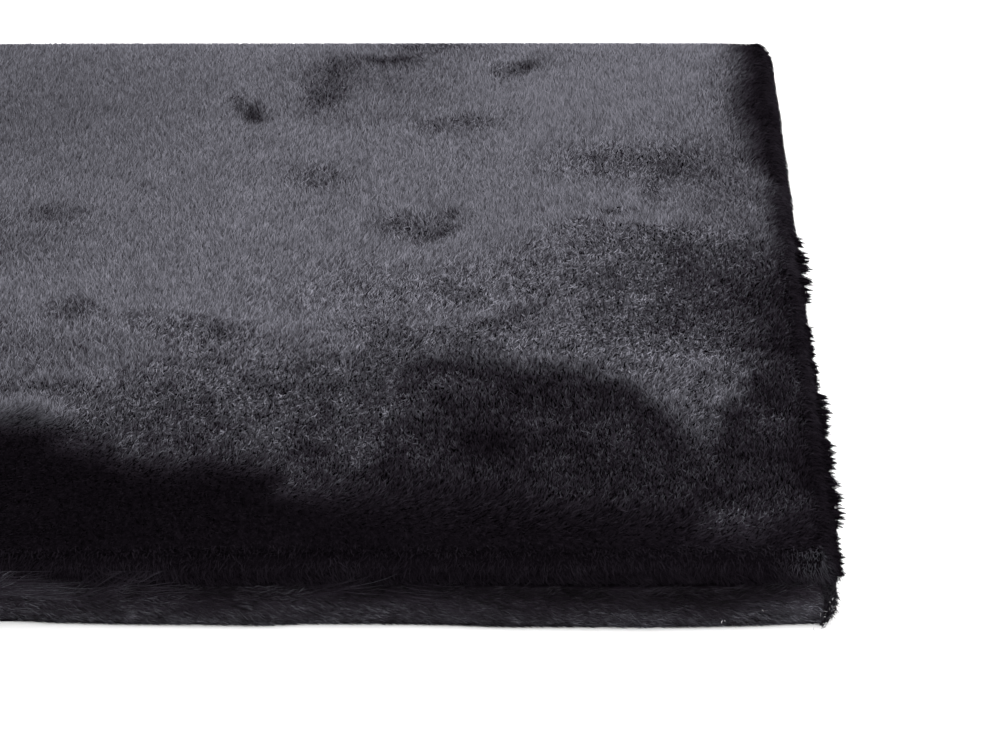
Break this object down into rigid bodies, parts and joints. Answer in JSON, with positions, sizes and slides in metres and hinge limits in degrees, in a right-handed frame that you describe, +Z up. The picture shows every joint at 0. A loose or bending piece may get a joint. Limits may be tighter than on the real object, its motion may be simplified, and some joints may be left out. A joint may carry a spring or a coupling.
{
  "type": "faux fur rug",
  "caption": "Thick rectangular short-pile faux fur rug whose padded panel rolls over its edges above sewn edge strips; lies flat on a floor.",
  "frame": {"origin": "on the floor under the rug's centre", "axes": "+X along the length, +Y across the width from the front edge to the back edge, +Z up out of the pile"},
  "size_m": [0.911, 0.611, 0.0473],
  "materials": {
    "fur": "short charcoal faux fur pile with a cool sheen where it lies over",
    "edge_fur": "near-black faux fur strip, its fine hair combed along the edge"
  },
  "bodies": {
    "root": {"fur_panel": "fur", "edge_strip_front": "edge_fur", "edge_strip_right": "edge_fur", "edge_strip_back": "edge_fur", "edge_strip_left": "edge_fur"}
  },
  "joints": []
}
